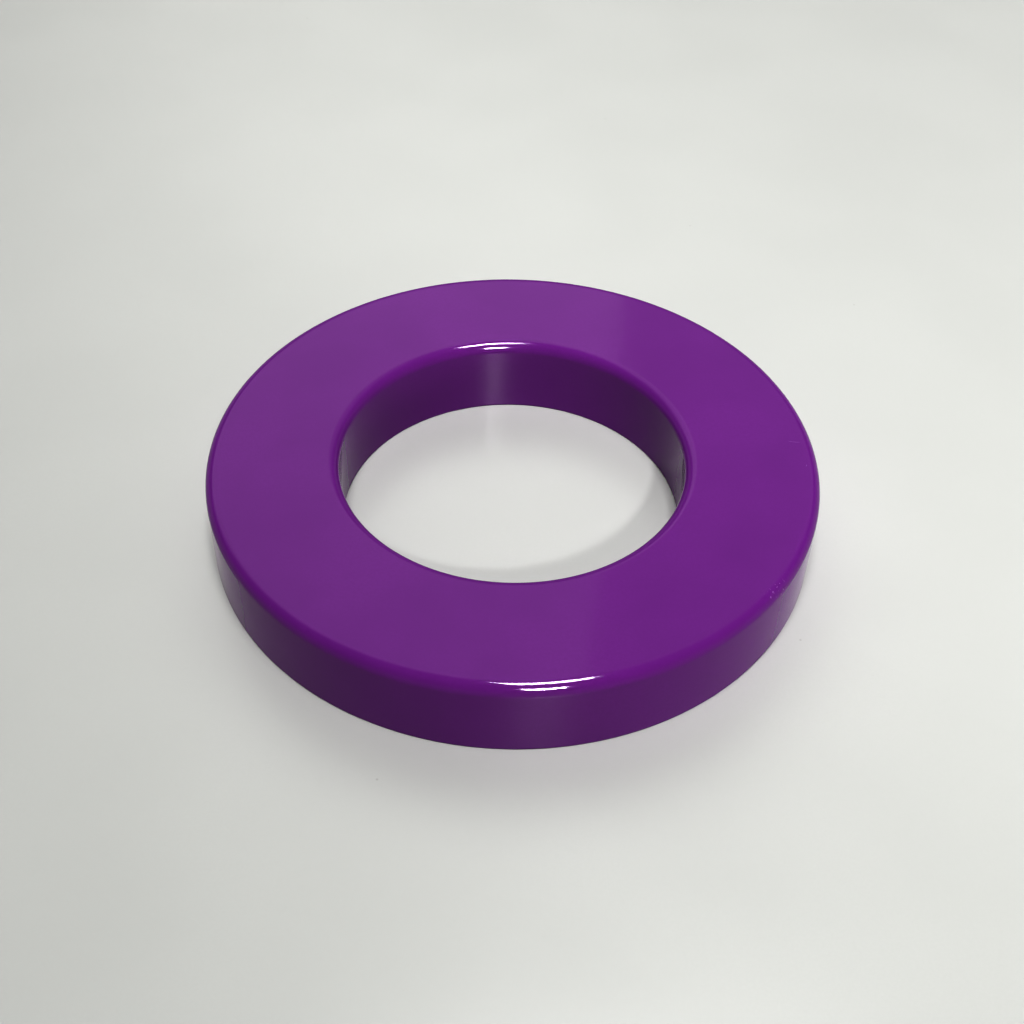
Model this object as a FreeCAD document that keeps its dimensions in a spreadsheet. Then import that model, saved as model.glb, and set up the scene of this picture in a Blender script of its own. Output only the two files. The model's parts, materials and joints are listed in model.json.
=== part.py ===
"""Deep juggling ring: a hollow shell moulding closed underneath by a flat annular plate.

Frame: millimetres, +Z up along the ring's axis. The origin is the centre of the ring at the
level of the two lower rims, which the ring stands on. The show side faces +Z.
"""
import FreeCAD, Part

import os

import Sketcher

# How Sketcher's constraints name points and axes.
START, END, CENTRE = 1, 2, 3
ORIGIN_POINT = (-1, 1)
X_AXIS = -1

MATCH = 0.001  # millimetres: how closely an edge has to fit the level and radius it is looked up by

# Driving dimensions, in millimetres, and the number of ribs.
DIMENSIONS = {
    "outer_diameter": 180.0,
    "hole_diameter": 102.0,
    "height": 24.5,
    "edge_radius": 3.3,       # round along both top edges
    "wall": 2.5,              # thickness of the top and of both round walls
    "rim_width": 1.3,         # what the seat leaves of each wall at its lower rim
    "plate_thickness": 2.4,
    "plate_recess": 0.3,      # the plate's underside sits this far above the rims
    "plate_gap": 0.1,         # radial gap between the plate and each rim
    "plate_chamfer": 0.4,     # bevel along the plate's two lower edges
    "rib_count": 12,          # radial ribs, beside the one ring-shaped rib at mid-width
    "rib_thickness": 1.2,     # under half the wall, so the top face shows no sink marks
    "rib_clearance": 0.3,     # between the ribs and the plate
    "rib_overlap": 0.5,       # how far each rib is let into the walls and the top
}

# Sizes that follow from the driving ones, as expressions on the sheet's aliases.
OUTER_RADIUS = "dims.outer_diameter / 2"
HOLE_RADIUS = "dims.hole_diameter / 2"
SEAT_DEPTH = "dims.plate_recess + dims.plate_thickness"
MID_RADIUS = "(dims.outer_diameter + dims.hole_diameter) / 4"
RIB_BOTTOM = SEAT_DEPTH + " + dims.rib_clearance"
RIB_HEIGHT = f"dims.height - dims.wall + dims.rib_overlap - ({RIB_BOTTOM})"

doc = FreeCAD.newDocument("juggling_ring")


def make_sheet():
    """Spreadsheet with one named row for each driving dimension."""
    sheet = doc.addObject("Spreadsheet::Sheet", "dims")
    for row, (name, value) in enumerate(DIMENSIONS.items(), start=1):
        sheet.set(f"A{row}", name)
        sheet.set(f"B{row}", str(value))
        sheet.setAlias(f"B{row}", name)
    doc.recompute()
    return sheet


def new_body(label):
    body = doc.addObject("PartDesign::Body", label)
    body.Label = label
    return body


def origin_feature(body, role):
    return next(f for f in body.Origin.OriginFeatures if f.Role == role)


def new_sketch(body, name, level=None):
    """Sketch on the body's XY plane, raised to the given level if there is one."""
    sketch = body.newObject("Sketcher::SketchObject", name)
    sketch.AttachmentSupport = (origin_feature(body, "XY_Plane"), [""])
    sketch.MapMode = "FlatFace"
    if level:
        sketch.setExpression("AttachmentOffset.Base.z", level)
    return sketch


def annulus_sketch(body, name, inner, outer, level=None):
    """Two circles about the axis, with their radii bound to the two expressions."""
    sketch = new_sketch(body, name, level)
    for label, expression, first_guess in (("inner", inner, 10.0), ("outer", outer, 20.0)):
        circle = Part.Circle(FreeCAD.Vector(0, 0, 0), FreeCAD.Vector(0, 0, 1), first_guess)
        index = sketch.addGeometry(circle, False)
        sketch.addConstraint(Sketcher.Constraint("Coincident", index, CENTRE, *ORIGIN_POINT))
        number = sketch.addConstraint(Sketcher.Constraint("Radius", index, first_guess))
        sketch.renameConstraint(number, label)
        sketch.setExpression("Constraints." + label, expression)
    return sketch


def rib_sketch(body, name, near, far, thickness, level):
    """Rectangle along +X from near to far, centred on the X axis."""
    sketch = new_sketch(body, name, level)
    corners = [FreeCAD.Vector(x, y, 0) for x, y in ((50, -1), (90, -1), (90, 1), (50, 1))]
    for start, end in zip(corners, corners[1:] + corners[:1]):
        sketch.addGeometry(Part.LineSegment(start, end), False)
    bottom, right, top, left = range(4)
    for line, following in ((bottom, right), (right, top), (top, left), (left, bottom)):
        sketch.addConstraint(Sketcher.Constraint("Coincident", line, END, following, START))
    for line in (bottom, top):
        sketch.addConstraint(Sketcher.Constraint("Horizontal", line))
    sketch.addConstraint(Sketcher.Constraint("Vertical", right))
    # the two left corners mirror each other in the X axis, which also keeps that side vertical
    sketch.addConstraint(Sketcher.Constraint("Symmetric", left, START, left, END, X_AXIS))
    sizes = (
        ("near", Sketcher.Constraint("DistanceX", *ORIGIN_POINT, bottom, START, 50), near),
        ("far", Sketcher.Constraint("DistanceX", *ORIGIN_POINT, bottom, END, 90), far),
        ("thickness", Sketcher.Constraint("DistanceY", right, START, right, END, 2), thickness),
    )
    for label, constraint, expression in sizes:
        number = sketch.addConstraint(constraint)
        sketch.renameConstraint(number, label)
        sketch.setExpression("Constraints." + label, expression)
    return sketch


def pad(body, name, sketch, length):
    feature = body.newObject("PartDesign::Pad", name)
    feature.Profile = sketch
    feature.setExpression("Length", length)
    sketch.Visibility = False
    doc.recompute()
    return feature


def pocket_up(body, name, sketch, depth):
    """Cut upwards into the body from the sketch, and make sure that it took material away."""
    before = body.Shape.Volume
    feature = body.newObject("PartDesign::Pocket", name)
    feature.Profile = sketch
    feature.Reversed = True
    feature.setExpression("Length", depth)
    sketch.Visibility = False
    doc.recompute()
    if body.Shape.Volume >= before:
        raise RuntimeError(f"{name} cut nothing")
    return feature


def circles_at(shape, level, radii):
    """Names of the round edges at the given level whose radius is one of radii."""
    names = []
    for number, edge in enumerate(shape.Edges, start=1):
        if not isinstance(edge.Curve, Part.Circle):
            continue
        same_level = abs(edge.Curve.Center.z - level) < MATCH
        if same_level and any(abs(edge.Curve.Radius - radius) < MATCH for radius in radii):
            names.append(f"Edge{number}")
    if len(names) != len(radii):
        raise RuntimeError(f"expected {len(radii)} edges at {level}, found {len(names)}")
    return names


def round_edges(body, name, level, radii, radius):
    base = body.Tip
    feature = body.newObject("PartDesign::Fillet", name)
    feature.Base = (base, circles_at(base.Shape, level, radii))
    feature.setExpression("Radius", radius)
    doc.recompute()
    return feature


def bevel_edges(body, name, level, radii, size):
    base = body.Tip
    feature = body.newObject("PartDesign::Chamfer", name)
    feature.Base = (base, circles_at(base.Shape, level, radii))
    feature.setExpression("Size", size)
    doc.recompute()
    return feature


def make_top_shell():
    """Show moulding: ring with rounded top edges, hollowed from below, with seat and ribs.

    The ring-shaped rib halves the hollow's width, and it backs the plate in mid-span.
    """
    body = new_body("top_shell")
    outer, hole = sheet.outer_diameter / 2, sheet.hole_diameter / 2
    channel_inner = HOLE_RADIUS + " + dims.wall"
    channel_outer = OUTER_RADIUS + " - dims.wall"

    blank = annulus_sketch(body, "blank_section", HOLE_RADIUS, OUTER_RADIUS)
    pad(body, "blank", blank, "dims.height")
    round_edges(body, "top_edge_rounds", sheet.height, (hole, outer), "dims.edge_radius")

    channel = annulus_sketch(body, "channel_section", channel_inner, channel_outer)
    pocket_up(body, "channel", channel, "dims.height - dims.wall")
    ceiling = sheet.height - sheet.wall
    walls = (hole + sheet.wall, outer - sheet.wall)
    round_edges(body, "channel_rounds", ceiling, walls, "dims.edge_radius - dims.wall")

    seat_inner = HOLE_RADIUS + " + dims.rim_width"
    seat_outer = OUTER_RADIUS + " - dims.rim_width"
    seat = annulus_sketch(body, "seat_section", seat_inner, seat_outer)
    pocket_up(body, "seat", seat, SEAT_DEPTH)

    rib = rib_sketch(body, "rib_section", channel_inner + " - dims.rib_overlap",
                     channel_outer + " + dims.rib_overlap", "dims.rib_thickness", RIB_BOTTOM)
    rib_pad = pad(body, "rib", rib, RIB_HEIGHT)
    ribs = body.newObject("PartDesign::PolarPattern", "ribs")
    ribs.Originals = [rib_pad]
    ribs.Axis = (origin_feature(body, "Z_Axis"), [""])
    ribs.Angle = 360
    ribs.setExpression("Occurrences", "dims.rib_count")
    body.Tip = ribs
    doc.recompute()

    ring_rib = annulus_sketch(body, "ring_rib_section", MID_RADIUS + " - dims.rib_thickness / 2",
                              MID_RADIUS + " + dims.rib_thickness / 2", RIB_BOTTOM)
    pad(body, "ring_rib", ring_rib, RIB_HEIGHT)
    return body


def make_base_plate():
    """Flat closing plate, bevelled underneath, lying against the step of the shell's seat."""
    body = new_body("base_plate")
    side = sheet.rim_width + sheet.plate_gap
    radii = (sheet.hole_diameter / 2 + side, sheet.outer_diameter / 2 - side)
    section = annulus_sketch(body, "disc_section",
                             HOLE_RADIUS + " + dims.rim_width + dims.plate_gap",
                             OUTER_RADIUS + " - dims.rim_width - dims.plate_gap")
    pad(body, "disc", section, "dims.plate_thickness")
    bevel_edges(body, "lower_edge_bevels", 0, radii, "dims.plate_chamfer")
    body.setExpression("Placement.Base.z", "dims.plate_recess")
    doc.recompute()
    return body


def check_document(bodies):
    """Stop if any object failed to build or a piece isn't one valid solid."""
    for item in doc.Objects:
        if {"Invalid", "Error"} & set(item.State):
            raise RuntimeError(f"{item.Label} failed: {item.State}")
    for body in bodies:
        if body.Shape.isNull() or not body.Shape.isValid() or len(body.Shape.Solids) != 1:
            raise RuntimeError(f"{body.Label} is not one valid solid")


def write_parts(bodies):
    os.makedirs("parts", exist_ok=True)
    for body in bodies:
        body.Shape.exportStep(f"parts/{body.Label}.step")
        box = body.Shape.optimalBoundingBox()
        print(f"{body.Label}: {body.Shape.Volume / 1000:.2f} cm3, z {box.ZMin:.2f} to {box.ZMax:.2f},"
              f" {box.XLength:.2f} x {box.YLength:.2f}")


sheet = make_sheet()
pieces = [make_top_shell(), make_base_plate()]
check_document(pieces)
write_parts(pieces)
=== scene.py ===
"""Looks for the deep juggling ring: two glossy purple mouldings, on a plain pale floor."""

import json
import math

import bmesh
import bpy
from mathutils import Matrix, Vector


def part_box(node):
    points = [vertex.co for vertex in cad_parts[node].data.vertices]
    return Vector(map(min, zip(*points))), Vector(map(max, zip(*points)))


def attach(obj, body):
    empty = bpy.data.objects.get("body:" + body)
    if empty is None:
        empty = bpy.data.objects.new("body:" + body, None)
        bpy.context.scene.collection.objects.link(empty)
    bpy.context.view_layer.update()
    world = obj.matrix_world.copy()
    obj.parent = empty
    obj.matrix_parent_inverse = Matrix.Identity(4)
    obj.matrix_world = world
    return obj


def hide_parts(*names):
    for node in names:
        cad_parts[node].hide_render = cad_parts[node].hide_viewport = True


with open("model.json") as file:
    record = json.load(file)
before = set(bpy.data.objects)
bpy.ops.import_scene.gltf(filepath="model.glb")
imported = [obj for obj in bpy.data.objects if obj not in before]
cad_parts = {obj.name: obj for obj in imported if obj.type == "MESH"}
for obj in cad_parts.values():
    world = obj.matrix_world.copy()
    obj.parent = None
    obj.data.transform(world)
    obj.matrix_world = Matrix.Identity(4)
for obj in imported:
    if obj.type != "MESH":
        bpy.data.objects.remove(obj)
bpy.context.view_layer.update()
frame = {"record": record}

MM = 0.001

# The ring's sizes, read from the frame.
SHELL_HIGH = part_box("top_shell")[1]
PLATE_LOW, PLATE_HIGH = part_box("base_plate")
HAND_HOLE = next(m for m in frame["record"]["mounts"] if m["name"] == "hand_hole")
OUTER = round(SHELL_HIGH.x / MM, 1) * MM
HOLE = HAND_HOLE["dims"]["r_mm"] * MM
HEIGHT = SHELL_HIGH.z
EDGE = HEIGHT - HAND_HOLE["dims"]["length_mm"] * MM      # radius of both top edges
SEAT = PLATE_HIGH.z                                      # level of the step that the plate lies on

# Sizes inside the moulding that the frame doesn't state.
WALL = 2.5 * MM
RIM = 1.3 * MM
PLATE_GAP = 0.1 * MM
PLATE_BEVEL = 0.4 * MM
RIB = 1.2 * MM
RIB_COUNT = 12
RIB_CLEARANCE = 0.3 * MM
FOOT_ROUND = 0.4 * MM       # the slight round that polishing leaves on the lower edges

# Marks underneath the closing plate, where it was pushed out of its mould and where it was filled.
EJECTORS = 12
EJECTOR_RADIUS = 2.5 * MM
EJECTOR_DEPTH = 0.12 * MM
EJECTOR_START = 15           # azimuth of the first, in degrees
EJECTOR_SHIFT = 0.25         # to and fro from mid-width, as a share of the plate's width
GATES = 3
GATE_RADIUS = 1.6 * MM
GATE_DEPTH = 0.5 * MM

# Small scratches on the show face: azimuth in degrees, then radius, turn in degrees,
# length and width in mm. The short one is a speck.
SCRATCHES = (
    (93, 84, -8, 4, 0.12),
    (86, 86, 70, 1, 0.14),
)
# Where the outer edge has been knocked: azimuth in degrees.
KNOCKS = (52, -128, 167)

PURPLE = (0.143, 0.023, 0.194, 1)
DEEP_PURPLE = (0.131, 0.020, 0.179, 1)
SCRATCHED = (0.42, 0.24, 0.50, 1)
PAPER = (0.425, 0.429, 0.414, 1)
PAPER_SHADE = (0.415, 0.419, 0.404, 1)
DUST = (0.25, 0.23, 0.22, 1)
GLOSS = 0.06                 # roughness of the polished plastic where it is cleanest
SMEARED = 0.04               # what handling adds to that roughness
REFRACTION = 1.32            # below solid plastic's 1.5: the ring mirrors its surroundings weakly
PAPER_REFRACTION = 1.38

# The shell's surface: how wide each texture's blotches are, and how deep its relief is.
CLOUDS = 30 * MM
GRAIN = 0.9 * MM
SMEARS = 18 * MM
PEEL, PEEL_DEPTH = 3.2 * MM, 0.012 * MM          # orange peel
WAVES, WAVE_DEPTH = 25 * MM, 0.03 * MM
LINE_LENGTH, LINE_WIDTH = 8 * MM, 0.22 * MM      # polishing hairlines
LINE_PATCHES = 22 * MM
CHIPS = 0.9 * MM
WORN_STRETCHES = 14 * MM
KNOCK_REACH = 8 * MM
CUT_DEPTH = 0.04 * MM                            # of scratches and chips

# The plate's and the floor's surfaces, in the same way.
PLATE_CLOUDS = 25 * MM
SPARK_GRAIN, SPARK_DEPTH = 0.35 * MM, 0.02 * MM  # texture that spark erosion leaves in a mould
FLOOR_HALF = 1.5                                 # half of the floor's width, in metres
FLOOR_CLOUDS = 60 * MM
FIBRES = 0.8 * MM
DUST_SPACING = 9 * MM

# Light levels: lamps in watts, then how bright the two sides of the wall behind the ring, the room
# and its lower walls look, and the gamma of the view.
OVERHEAD_GLINT = 33.0
FRONT_GLINT = 46.0
FILL_POWER = 178.0
BACK_FILL_POWER = 6.8
SIDE_FILL_POWER = 11.0
POOL_POWER = 425.0
TOP_POOL_POWER = 76.0
BACKDROP_LEFT = 1.9
BACKDROP_RIGHT = 1.0
ROOM = 0.02
HORIZON = 0.60
CONTRAST = 0.65

# Where the pools of light end on the left: two points of that line, in ring radii.
EDGE_NEAR = Vector((0.40, -1.7, 0))
EDGE_FAR = Vector((-1.90, 1.7, 0))
POOL_ANGLE = math.radians(10)        # half of each pool's cone
POOL_EDGE = 0.94                     # that line's place in the cone, within its faded rim
POOL_BLEND = 0.25
POOL_DISTANCE = 4.0                  # metres
POOL_LAMP = 0.13                     # radius of the lamp in metres, which softens its shadows

# The wall behind the ring: sines of the elevations where it fades in and out, the azimuths in
# radians where both its sides fade, and the upright edge between its two levels.
BACKDROP_FOOT = (0.44, 0.56)
BACKDROP_TOP = (0.95, 0.85)
BACKDROP_SIDE = (1.2, 0.6)
BACKDROP_EDGE = math.radians(7.2)
BACKDROP_EDGE_SOFT = math.radians(0.3)
LOW_WALLS = (0.42, 0.10)             # sines of the elevations where the pale lower walls fade out

# The camera looks along +Y and down. Its place is in ring radii, from the ring's centre at floor
# level.
CAMERA_PLACE = Vector((-0.1226, -3.5229, 3.3960))
CAMERA_DOWN = 44.80                  # degrees below the horizon
LENS = 50.47
SENSOR_WIDTH = 36
SHIFT = (0.0366, 0.0205)

SEGMENTS = 384               # round the ring
ARC_STEPS = 14               # round a quarter of a top edge
FOOT_STEPS = 4               # round a quarter of a lower edge
WALL_STEPS = 10              # up a straight wall
FACE_STEPS = 16              # across the flat top
PLATE_STEPS = 6              # across the plate's underside
DISC_SEGMENTS = 32           # round an ejector mark or a gate well
HOLLOW_STEPS = 3             # round a quarter of the hollow's corners
SHARP_OVER = 35              # degrees between faces beyond which an edge stays crisp


# ---------------------------------------------------------------- places and objects

def direction(azimuth, elevation):
    """Unit vector from the ring; azimuth in degrees to the right of the camera's side, -Y."""
    a, e = math.radians(azimuth), math.radians(elevation)
    return Vector((math.cos(e) * math.sin(a), -math.cos(e) * math.cos(a), math.sin(e)))


def new_object(name, data):
    """Object in the scene that holds the given mesh, camera or light."""
    made = bpy.data.objects.new(name, data)
    bpy.context.scene.collection.objects.link(made)
    return made


def new_piece(name, work):
    """Object in the scene with the mesh that the bmesh holds."""
    mesh = bpy.data.meshes.new(name)
    work.to_mesh(mesh)
    work.free()
    return new_object(name, mesh)


# ---------------------------------------------------------------- mesh work

def arc(centre_r, centre_z, radius, start, end, steps):
    """Points of an arc in the ring's section, from start to end degrees, both included."""
    points = []
    for step in range(steps + 1):
        angle = math.radians(start + (end - start) * step / steps)
        points.append((centre_r + radius * math.cos(angle), centre_z + radius * math.sin(angle)))
    return points


def spread(start, end, steps):
    """Points between two section points, without the points themselves, closer near both ends."""
    points = []
    for step in range(1, steps):
        share = 0.5 - 0.5 * math.cos(math.pi * step / steps)
        points.append(tuple(a + (b - a) * share for a, b in zip(start, end)))
    return points


def lathe(name, section, segments=SEGMENTS):
    """Closed section of (radius, height) points, turned about the Z axis into a solid."""
    work = bmesh.new()
    rings = []
    for turn in range(segments):
        angle = 2 * math.pi * turn / segments
        c, s = math.cos(angle), math.sin(angle)
        rings.append([work.verts.new((r * c, r * s, z)) for r, z in section])
    for turn, ring in enumerate(rings):
        following = rings[(turn + 1) % segments]
        for i in range(len(section)):
            j = (i + 1) % len(section)
            work.faces.new((ring[i], following[i], following[j], ring[j]))
    bmesh.ops.recalc_face_normals(work, faces=work.faces)
    return new_piece(name, work)


def shell_section():
    """The show moulding's section: walls and top of even thickness, open underneath."""
    inside = EDGE - WALL
    ceiling = HEIGHT - WALL
    near, far = HOLE + WALL, OUTER - WALL
    outer_foot = arc(OUTER - FOOT_ROUND, FOOT_ROUND, FOOT_ROUND, -90, 0, FOOT_STEPS)
    outer_edge = arc(OUTER - EDGE, HEIGHT - EDGE, EDGE, 0, 90, ARC_STEPS)
    inner_edge = arc(HOLE + EDGE, HEIGHT - EDGE, EDGE, 90, 180, ARC_STEPS)
    inner_foot = arc(HOLE + FOOT_ROUND, FOOT_ROUND, FOOT_ROUND, 180, 270, FOOT_STEPS)
    outside = outer_foot + spread(outer_foot[-1], outer_edge[0], WALL_STEPS) + outer_edge
    outside += spread(outer_edge[-1], inner_edge[0], FACE_STEPS) + inner_edge
    outside += spread(inner_edge[-1], inner_foot[0], WALL_STEPS) + inner_foot
    rims = [(HOLE + RIM, 0), (HOLE + RIM, SEAT), (near, SEAT)]
    hollow = arc(near + inside, ceiling - inside, inside, 180, 90, HOLLOW_STEPS)
    hollow += arc(far - inside, ceiling - inside, inside, 90, 0, HOLLOW_STEPS)
    return outside + rims + hollow + [(far, SEAT), (OUTER - RIM, SEAT), (OUTER - RIM, 0)]


def block(name, low, high, turn):
    """Box between two corners, turned about the Z axis."""
    work = bmesh.new()
    bmesh.ops.create_cube(work, size=1)
    c, s = math.cos(turn), math.sin(turn)
    for vert in work.verts:
        x, y, z = [low[k] + (high[k] - low[k]) * (vert.co[k] + 0.5) for k in range(3)]
        vert.co = (x * c - y * s, x * s + y * c, z)
    return new_piece(name, work)


def combine(piece, tools, operation):
    """Apply a boolean of every tool to the piece, and delete the tools."""
    for tool in tools:
        modifier = piece.modifiers.new(tool.name, "BOOLEAN")
        modifier.operation = operation
        modifier.solver = "EXACT"
        modifier.object = tool
    graph = bpy.context.evaluated_depsgraph_get()
    mesh = bpy.data.meshes.new_from_object(piece.evaluated_get(graph))
    piece.modifiers.clear()
    piece.data = mesh
    for tool in tools:
        bpy.data.objects.remove(tool)


def smooth(piece):
    """Shade smooth, with edges kept crisp where the faces turn by more than SHARP_OVER degrees."""
    for polygon in piece.data.polygons:
        polygon.use_smooth = True
    piece.data.set_sharp_from_angle(angle=math.radians(SHARP_OVER))


def make_shell():
    """Show moulding, with the radial ribs and the ring-shaped rib joined to it."""
    piece = lathe("shell_moulding", shell_section())
    bottom, top = SEAT + RIB_CLEARANCE, HEIGHT - WALL / 2
    ribs = []
    for number in range(RIB_COUNT):
        low = (HOLE + WALL / 2, -RIB / 2, bottom)
        high = (OUTER - WALL / 2, RIB / 2, top)
        ribs.append(block(f"rib_{number}", low, high, 2 * math.pi * number / RIB_COUNT))
    middle = (HOLE + OUTER) / 2
    ring = [(middle - RIB / 2, bottom), (middle + RIB / 2, bottom),
            (middle + RIB / 2, top), (middle - RIB / 2, top)]
    ribs.append(lathe("ring_rib", ring, SEGMENTS // 2))
    combine(piece, ribs, "UNION")
    smooth(piece)
    return piece


def disc_cutter(name, azimuth, radius, size, level, depth):
    """Upright cylinder at a place on the ring, reaching as far above the level as below it."""
    work = bmesh.new()
    bmesh.ops.create_cone(work, cap_ends=True, segments=DISC_SEGMENTS, radius1=size, radius2=size,
                          depth=2 * depth)
    place = direction(azimuth, 0) * radius + Vector((0, 0, level))
    bmesh.ops.translate(work, verts=work.verts, vec=place)
    return new_piece(name, work)


def make_plate():
    """Closing plate with bevelled lower edges, ejector marks and gate wells underneath."""
    near, far = HOLE + RIM + PLATE_GAP, OUTER - RIM - PLATE_GAP
    low, high = PLATE_LOW.z, PLATE_HIGH.z
    outside = [(near + PLATE_BEVEL, low)] + spread((near, low), (far, low), PLATE_STEPS)
    section = outside + [(far - PLATE_BEVEL, low), (far, low + PLATE_BEVEL),
                         (far, high), (near, high), (near, low + PLATE_BEVEL)]
    piece = lathe("plate_moulding", section)
    middle = (near + far) / 2
    cutters = []
    for number in range(EJECTORS):
        radius = middle + (EJECTOR_SHIFT if number % 2 else -EJECTOR_SHIFT) * (far - near)
        azimuth = EJECTOR_START + 360 * number / EJECTORS
        cutters.append(disc_cutter(f"ejector_{number}", azimuth, radius,
                                   EJECTOR_RADIUS, low, EJECTOR_DEPTH))
    for number in range(GATES):
        cutters.append(disc_cutter(f"gate_{number}", 360 * number / GATES, middle,
                                   GATE_RADIUS, low, GATE_DEPTH))
    combine(piece, cutters, "DIFFERENCE")
    smooth(piece)
    return piece


# ---------------------------------------------------------------- materials

def node(tree, kind, **settings):
    """New shader node, with its own settings such as operation."""
    made = tree.nodes.new(kind)
    for name, value in settings.items():
        setattr(made, name, value)
    return made


def link_or_set(tree, socket, value):
    """Feed the socket from another node's output, or set it to a plain value."""
    if isinstance(value, bpy.types.NodeSocket):
        tree.links.new(value, socket)
    else:
        socket.default_value = value


def calculate(tree, operation, *values, clamp=False):
    """Result of a math node; each value is a plain number or another node's output."""
    made = node(tree, "ShaderNodeMath", operation=operation, use_clamp=clamp)
    for socket, value in zip(made.inputs, values):
        link_or_set(tree, socket, value)
    return made.outputs["Value"]


def ramp(tree, value, low, high, out_low=0.0, out_high=1.0):
    """Smooth step of the value from low to high, mapped to out_low and out_high."""
    made = node(tree, "ShaderNodeMapRange", interpolation_type="SMOOTHSTEP")
    for name, given in (("Value", value), ("From Min", low), ("From Max", high),
                        ("To Min", out_low), ("To Max", out_high)):
        link_or_set(tree, made.inputs[name], given)
    return made.outputs["Result"]


def blend_colours(tree, share, first, second):
    """First colour, blended into the second by the share; 6, 7 and 2 are the colour sockets."""
    made = node(tree, "ShaderNodeMix", data_type="RGBA")
    link_or_set(tree, made.inputs["Factor"], share)
    link_or_set(tree, made.inputs[6], first)
    link_or_set(tree, made.inputs[7], second)
    return made.outputs[2]


def noise(tree, place, size, detail=2.0):
    """Noise whose blotches are about as wide as size, in metres."""
    made = node(tree, "ShaderNodeTexNoise")
    tree.links.new(place, made.inputs["Vector"])
    made.inputs["Scale"].default_value = 1 / size
    made.inputs["Detail"].default_value = detail
    return made.outputs["Fac"]


def moved(tree, place, location, turn, scale):
    """The same coordinates seen from a frame at location, turned about Z, then stretched."""
    made = node(tree, "ShaderNodeMapping", vector_type="TEXTURE")
    tree.links.new(place, made.inputs["Vector"])
    made.inputs["Location"].default_value = location
    made.inputs["Rotation"].default_value = (0, 0, turn)
    made.inputs["Scale"].default_value = scale
    return made.outputs["Vector"]


def bump(tree, height, depth, under=None):
    """Normal of a relief of the given depth, in metres, on top of another one if there is one."""
    made = node(tree, "ShaderNodeBump")
    link_or_set(tree, made.inputs["Height"], height)
    made.inputs["Distance"].default_value = depth
    made.inputs["Strength"].default_value = 1.0
    if under is not None:
        tree.links.new(under, made.inputs["Normal"])
    return made.outputs["Normal"]


def new_material(name):
    """Material with its node tree, its shader and the piece's own coordinates in metres."""
    material = bpy.data.materials.new(name)
    material.use_nodes = True
    tree = material.node_tree
    place = node(tree, "ShaderNodeTexCoord").outputs["Object"]
    return material, tree, tree.nodes["Principled BSDF"], place


def hairlines(tree, place, turn, seed):
    """Mask of faint polishing lines that lie along one direction."""
    start = (seed * 0.013, seed * 0.007, 0)
    stretched = moved(tree, place, start, turn, (LINE_LENGTH, LINE_WIDTH, LINE_LENGTH))
    lines = node(tree, "ShaderNodeTexNoise")
    tree.links.new(stretched, lines.inputs["Vector"])
    lines.inputs["Scale"].default_value = 1
    lines.inputs["Detail"].default_value = 1
    return ramp(tree, lines.outputs["Fac"], 0.69, 0.74)


def polishing(tree, place, turns, first_seed=0):
    """Mask of hairlines that lie along several directions, given in degrees."""
    return total(tree, [hairlines(tree, place, math.radians(turn), seed)
                        for seed, turn in enumerate(turns, start=first_seed)])


def scratch(tree, place, azimuth, radius, turn, length, width):
    """Mask of one slightly bent scratch with tapered ends, at its place on the ring."""
    spot = direction(azimuth, 0) * radius * MM
    local = node(tree, "ShaderNodeSeparateXYZ")
    tree.links.new(moved(tree, place, spot, math.radians(turn), (MM, MM, MM)), local.inputs[0])
    along = calculate(tree, "ABSOLUTE", local.outputs["X"])
    wander = calculate(tree, "MULTIPLY", calculate(tree, "MULTIPLY", along, along), 0.04)
    across = calculate(tree, "ABSOLUTE", calculate(tree, "SUBTRACT", local.outputs["Y"], wander))
    thin = ramp(tree, across, width, 0.3 * width)
    short = ramp(tree, along, length / 2, length / 4)
    return calculate(tree, "MULTIPLY", thin, short)


def near_spot(tree, place, spot, reach):
    """Mask round an upright line through the spot: 1 at the line, 0 beyond the reach."""
    flat = node(tree, "ShaderNodeVectorMath", operation="MULTIPLY")
    tree.links.new(place, flat.inputs[0])
    flat.inputs[1].default_value = (1, 1, 0)
    gap = node(tree, "ShaderNodeVectorMath", operation="DISTANCE")
    tree.links.new(flat.outputs["Vector"], gap.inputs[0])
    gap.inputs[1].default_value = spot
    return ramp(tree, gap.outputs["Value"], reach, 0.3 * reach)


def total(tree, masks):
    """Sum of several masks, held to 1."""
    value = masks[0]
    for mask in masks[1:]:
        value = calculate(tree, "ADD", value, mask, clamp=True)
    return value


def small_marks(tree, place, level):
    """Mask of the scratches, on the flat top only."""
    on_top = ramp(tree, level, HEIGHT - 0.4 * MM, HEIGHT - 0.1 * MM)
    marks = total(tree, [scratch(tree, place, *values) for values in SCRATCHES])
    return calculate(tree, "MULTIPLY", marks, on_top)


def edge_wear(tree, place, level, radius):
    """Mask of tiny chips along the two top edges, where handling and knocks have worn them."""
    # how far out of the flat top and of the straight wall
    past_outer = ramp(tree, radius, OUTER - EDGE, OUTER - 0.3 * EDGE)
    past_inner = ramp(tree, radius, HOLE + EDGE, HOLE + 0.3 * EDGE)
    at_edge = calculate(tree, "MULTIPLY", calculate(tree, "MAXIMUM", past_outer, past_inner),
                        ramp(tree, level, HEIGHT - EDGE, HEIGHT - 0.5 * EDGE))
    chips = ramp(tree, noise(tree, place, CHIPS, 3), 0.62, 0.67)
    worn_spots = ramp(tree, noise(tree, place, WORN_STRETCHES), 0.68, 0.80)
    for azimuth in KNOCKS:
        spot = direction(azimuth, 0) * (OUTER - EDGE / 2)
        knocked = near_spot(tree, place, spot, KNOCK_REACH)
        worn_spots = calculate(tree, "MAXIMUM", worn_spots, knocked)
    return calculate(tree, "MULTIPLY", calculate(tree, "MULTIPLY", at_edge, chips), worn_spots)


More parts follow.
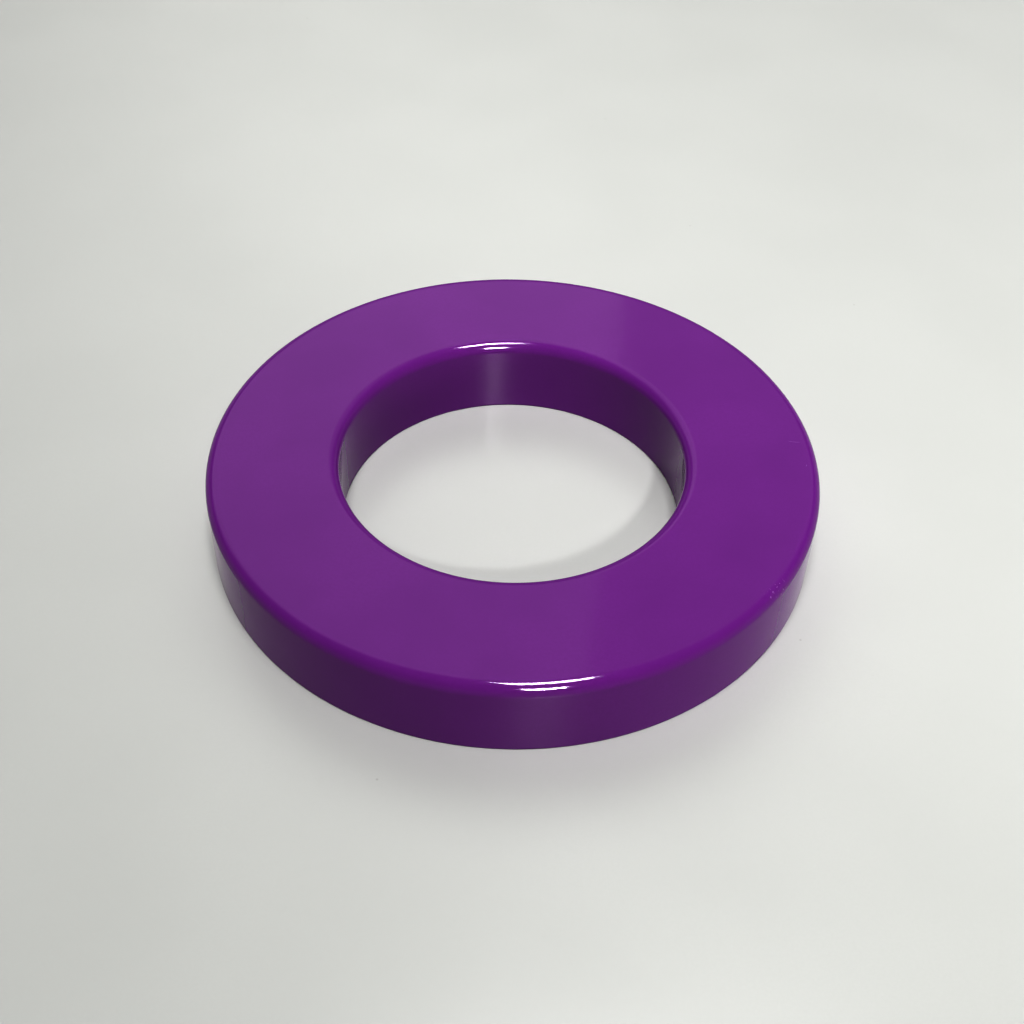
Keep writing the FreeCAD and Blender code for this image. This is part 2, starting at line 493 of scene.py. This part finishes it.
def shell_colour(tree, place, pale):
    """Slightly clouded and grainy purple, paler by the share that the mask says."""
    clouds = noise(tree, place, CLOUDS, 3)
    grain = noise(tree, place, GRAIN, 2)
    colour = blend_colours(tree, ramp(tree, clouds, 0.3, 0.7), DEEP_PURPLE, PURPLE)
    colour = blend_colours(tree, ramp(tree, grain, 0.3, 0.7, 0.0, 0.5), colour, DEEP_PURPLE)
    return blend_colours(tree, pale, colour, SCRATCHED)


def shell_gloss():
    """Polished purple plastic: clouding, orange peel, hairlines, small marks and worn edges."""
    material, tree, shader, place = new_material("shell_gloss")
    part = node(tree, "ShaderNodeSeparateXYZ")
    tree.links.new(place, part.inputs[0])
    level = part.outputs["Z"]
    squares = [calculate(tree, "MULTIPLY", part.outputs[axis], part.outputs[axis]) for axis in "XY"]
    radius = calculate(tree, "SQRT", calculate(tree, "ADD", *squares))

    marks = small_marks(tree, place, level)
    worn = edge_wear(tree, place, level, radius)
    patchy = ramp(tree, noise(tree, place, LINE_PATCHES), 0.45, 0.65)
    lines = calculate(tree, "MULTIPLY", polishing(tree, place, (12, 74, 131)), patchy)
    pale = total(tree, [calculate(tree, "MULTIPLY", marks, 0.30),
                        calculate(tree, "MULTIPLY", worn, 0.5)])
    tree.links.new(shell_colour(tree, place, pale), shader.inputs["Base Color"])

    rough = ramp(tree, noise(tree, place, SMEARS, 3), 0.35, 0.7, GLOSS, GLOSS + SMEARED)
    rough = calculate(tree, "ADD", rough, calculate(tree, "MULTIPLY", lines, 0.05))
    rough = calculate(tree, "ADD", rough, calculate(tree, "MULTIPLY", pale, 0.4), clamp=True)
    tree.links.new(rough, shader.inputs["Roughness"])
    shader.inputs["IOR"].default_value = REFRACTION

    peel = bump(tree, noise(tree, place, PEEL, 1), PEEL_DEPTH)
    waves = bump(tree, noise(tree, place, WAVES, 1), WAVE_DEPTH, under=peel)
    cuts = calculate(tree, "ADD", calculate(tree, "MULTIPLY", lines, 0.04), marks)
    cuts = calculate(tree, "ADD", cuts, worn)
    normal = bump(tree, calculate(tree, "MULTIPLY", cuts, -1.0), CUT_DEPTH, under=waves)
    tree.links.new(normal, shader.inputs["Normal"])
    return material


def plate_satin():
    """The same plastic with a fine spark-eroded texture, scuffed where it drags on a table."""
    material, tree, shader, place = new_material("plate_satin")
    clouds = noise(tree, place, PLATE_CLOUDS, 3)
    texture = noise(tree, place, SPARK_GRAIN, 3)
    scuffs = polishing(tree, place, (33, 96, 160), first_seed=5)
    colour = blend_colours(tree, ramp(tree, clouds, 0.3, 0.7), DEEP_PURPLE, PURPLE)
    colour = blend_colours(tree, calculate(tree, "MULTIPLY", scuffs, 0.25), colour, SCRATCHED)
    tree.links.new(colour, shader.inputs["Base Color"])
    rough = ramp(tree, clouds, 0.3, 0.7, 0.36, 0.46)
    tree.links.new(calculate(tree, "ADD", rough, calculate(tree, "MULTIPLY", scuffs, 0.15)),
                   shader.inputs["Roughness"])
    shader.inputs["IOR"].default_value = REFRACTION
    tree.links.new(bump(tree, texture, SPARK_DEPTH), shader.inputs["Normal"])
    return material


def floor_paper():
    """Smooth pale grey paper with faint fibres, slight clouding and a little dust."""
    material, tree, shader, place = new_material("floor_paper")
    clouds = noise(tree, place, FLOOR_CLOUDS, 1)
    fibres = noise(tree, place, FIBRES, 3)
    colour = blend_colours(tree, ramp(tree, clouds, 0.3, 0.7), PAPER_SHADE, PAPER)
    colour = blend_colours(tree, ramp(tree, fibres, 0.3, 0.7, 0.0, 0.5), colour, PAPER_SHADE)
    grains = node(tree, "ShaderNodeTexVoronoi")
    tree.links.new(place, grains.inputs["Vector"])
    grains.inputs["Scale"].default_value = 1 / DUST_SPACING
    chosen = node(tree, "ShaderNodeSeparateColor")
    tree.links.new(grains.outputs["Color"], chosen.inputs[0])
    dust = calculate(tree, "MULTIPLY", ramp(tree, grains.outputs["Distance"], 0.05, 0.025),
                     ramp(tree, chosen.outputs[0], 0.93, 0.94))
    colour = blend_colours(tree, calculate(tree, "MULTIPLY", dust, 0.35), colour, DUST)
    tree.links.new(colour, shader.inputs["Base Color"])
    tree.links.new(ramp(tree, clouds, 0.2, 0.8, 0.29, 0.31), shader.inputs["Roughness"])
    shader.inputs["IOR"].default_value = PAPER_REFRACTION
    return material


# ---------------------------------------------------------------- stage, camera and lights

def make_floor():
    mesh = bpy.data.meshes.new("floor")
    corners = [(x * FLOOR_HALF, y * FLOOR_HALF, 0) for x, y in ((-1, -1), (1, -1), (1, 1), (-1, 1))]
    mesh.from_pydata(corners, [], [(0, 1, 2, 3)])
    floor = new_object("floor", mesh)
    mesh.materials.append(floor_paper())


def make_camera():
    data = bpy.data.cameras.new("camera")
    data.lens = LENS
    data.sensor_width = SENSOR_WIDTH
    data.shift_x, data.shift_y = SHIFT
    camera = new_object("camera", data)
    camera.location = CAMERA_PLACE * OUTER
    camera.rotation_euler = (math.radians(90 - CAMERA_DOWN), 0, 0)
    bpy.context.scene.camera = camera


def soft_box(name, azimuth, elevation, distance, width, height, power, only):
    """Rectangular area light that faces the ring and shows only in "gloss" or only in "matt"."""
    data = bpy.data.lights.new(name, "AREA")
    data.shape = "RECTANGLE"
    data.size = width
    data.size_y = height
    data.energy = power
    light = new_object(name, data)
    towards = direction(azimuth, elevation)
    light.location = towards * distance
    light.rotation_euler = towards.to_track_quat("Z", "Y").to_euler()
    light.visible_camera = False
    light.visible_diffuse = only != "gloss"
    light.visible_glossy = only != "matt"


def pool_light(name, azimuth, elevation, power):
    """Spot whose pool of light fades out on the left, along a line that runs to the back left.

    The whole of a line from EDGE_NEAR to EDGE_FAR is seen at about the same angle from its axis.
    """
    data = bpy.data.lights.new(name, "SPOT")
    data.spot_size = 2 * POOL_ANGLE
    data.spot_blend = POOL_BLEND
    data.shadow_soft_size = POOL_LAMP
    data.energy = power
    light = new_object(name, data)
    light.location = direction(azimuth, elevation) * POOL_DISTANCE
    near, far = [(end * OUTER - light.location).normalized() for end in (EDGE_NEAR, EDGE_FAR)]
    middle = (near + far).normalized()
    side = (far - near).cross(middle).normalized()
    if side.x < 0:
        side = -side
    half = POOL_EDGE * POOL_ANGLE
    axis = middle * math.cos(half) + side * math.sin(half)
    light.rotation_euler = (-axis).to_track_quat("Z", "Y").to_euler()


def make_lights():
    """Boxes: azimuth and elevation in degrees, then distance, width and height in metres."""
    soft_box("overhead_glint", 100, 84, 1.3, 0.40, 0.30, OVERHEAD_GLINT, only="gloss")
    soft_box("front_glint", 11, 40, 1.6, 0.32, 0.44, FRONT_GLINT, only="gloss")
    soft_box("front_fill", 0, 80, 4.0, 1.20, 1.00, FILL_POWER, only="matt")
    soft_box("back_fill", 180, 45, 2.0, 1.20, 0.60, BACK_FILL_POWER, only="matt")
    soft_box("side_fill", 62, 6, 2.0, 0.80, 0.30, SIDE_FILL_POWER, only="matt")
    pool_light("pool_front", 12, 40, POOL_POWER)
    pool_light("pool_top", 80, 82, TOP_POOL_POWER)


def back_wall(tree, coordinates, left, right):
    """Pale wall behind the ring, with different levels left and right of an upright edge."""
    place = node(tree, "ShaderNodeSeparateXYZ")
    tree.links.new(coordinates, place.inputs[0])
    across = calculate(tree, "ARCTAN2", place.outputs["X"], place.outputs["Y"])
    height = place.outputs["Z"]
    upright = calculate(tree, "MULTIPLY", ramp(tree, height, *BACKDROP_FOOT),
                        ramp(tree, height, *BACKDROP_TOP))
    out, full = BACKDROP_SIDE
    sides = calculate(tree, "MULTIPLY", ramp(tree, across, -out, -full),
                      ramp(tree, across, out, full))
    edge, soft = BACKDROP_EDGE, BACKDROP_EDGE_SOFT
    level = ramp(tree, across, edge - soft, edge + soft, left, right)
    return calculate(tree, "MULTIPLY", calculate(tree, "MULTIPLY", upright, sides), level)


def low_band(tree, coordinates, brightness):
    """Light of the room's lower walls, fading out by about 25 degrees above the horizon."""
    place = node(tree, "ShaderNodeSeparateXYZ")
    tree.links.new(coordinates, place.inputs[0])
    return ramp(tree, place.outputs["Z"], *LOW_WALLS, 0.0, brightness)


def make_world():
    """Dim room, with pale lower walls and a brighter wall behind the ring."""
    world = bpy.data.worlds.new("studio")
    world.use_nodes = True
    tree = world.node_tree
    coordinates = node(tree, "ShaderNodeTexCoord").outputs["Generated"]
    wall = back_wall(tree, coordinates, BACKDROP_LEFT, BACKDROP_RIGHT)
    strength = calculate(tree, "ADD", wall, ROOM)
    strength = calculate(tree, "ADD", strength, low_band(tree, coordinates, HORIZON))
    tree.links.new(strength, tree.nodes["Background"].inputs["Strength"])
    tree.nodes["Background"].inputs["Color"].default_value = (1, 1, 1, 1)
    bpy.context.scene.world = world
    bpy.context.scene.view_settings.view_transform = "Standard"
    bpy.context.scene.view_settings.gamma = CONTRAST


def mount_piece(piece, node, material):
    """Give the piece its material and its body, and hide the CAD node that it replaces."""
    piece.data.materials.clear()
    piece.data.materials.append(material)
    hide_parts(node)
    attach(piece, "root")


mount_piece(make_shell(), "top_shell", shell_gloss())
mount_piece(make_plate(), "base_plate", plate_satin())
make_floor()
make_camera()
make_lights()
make_world()
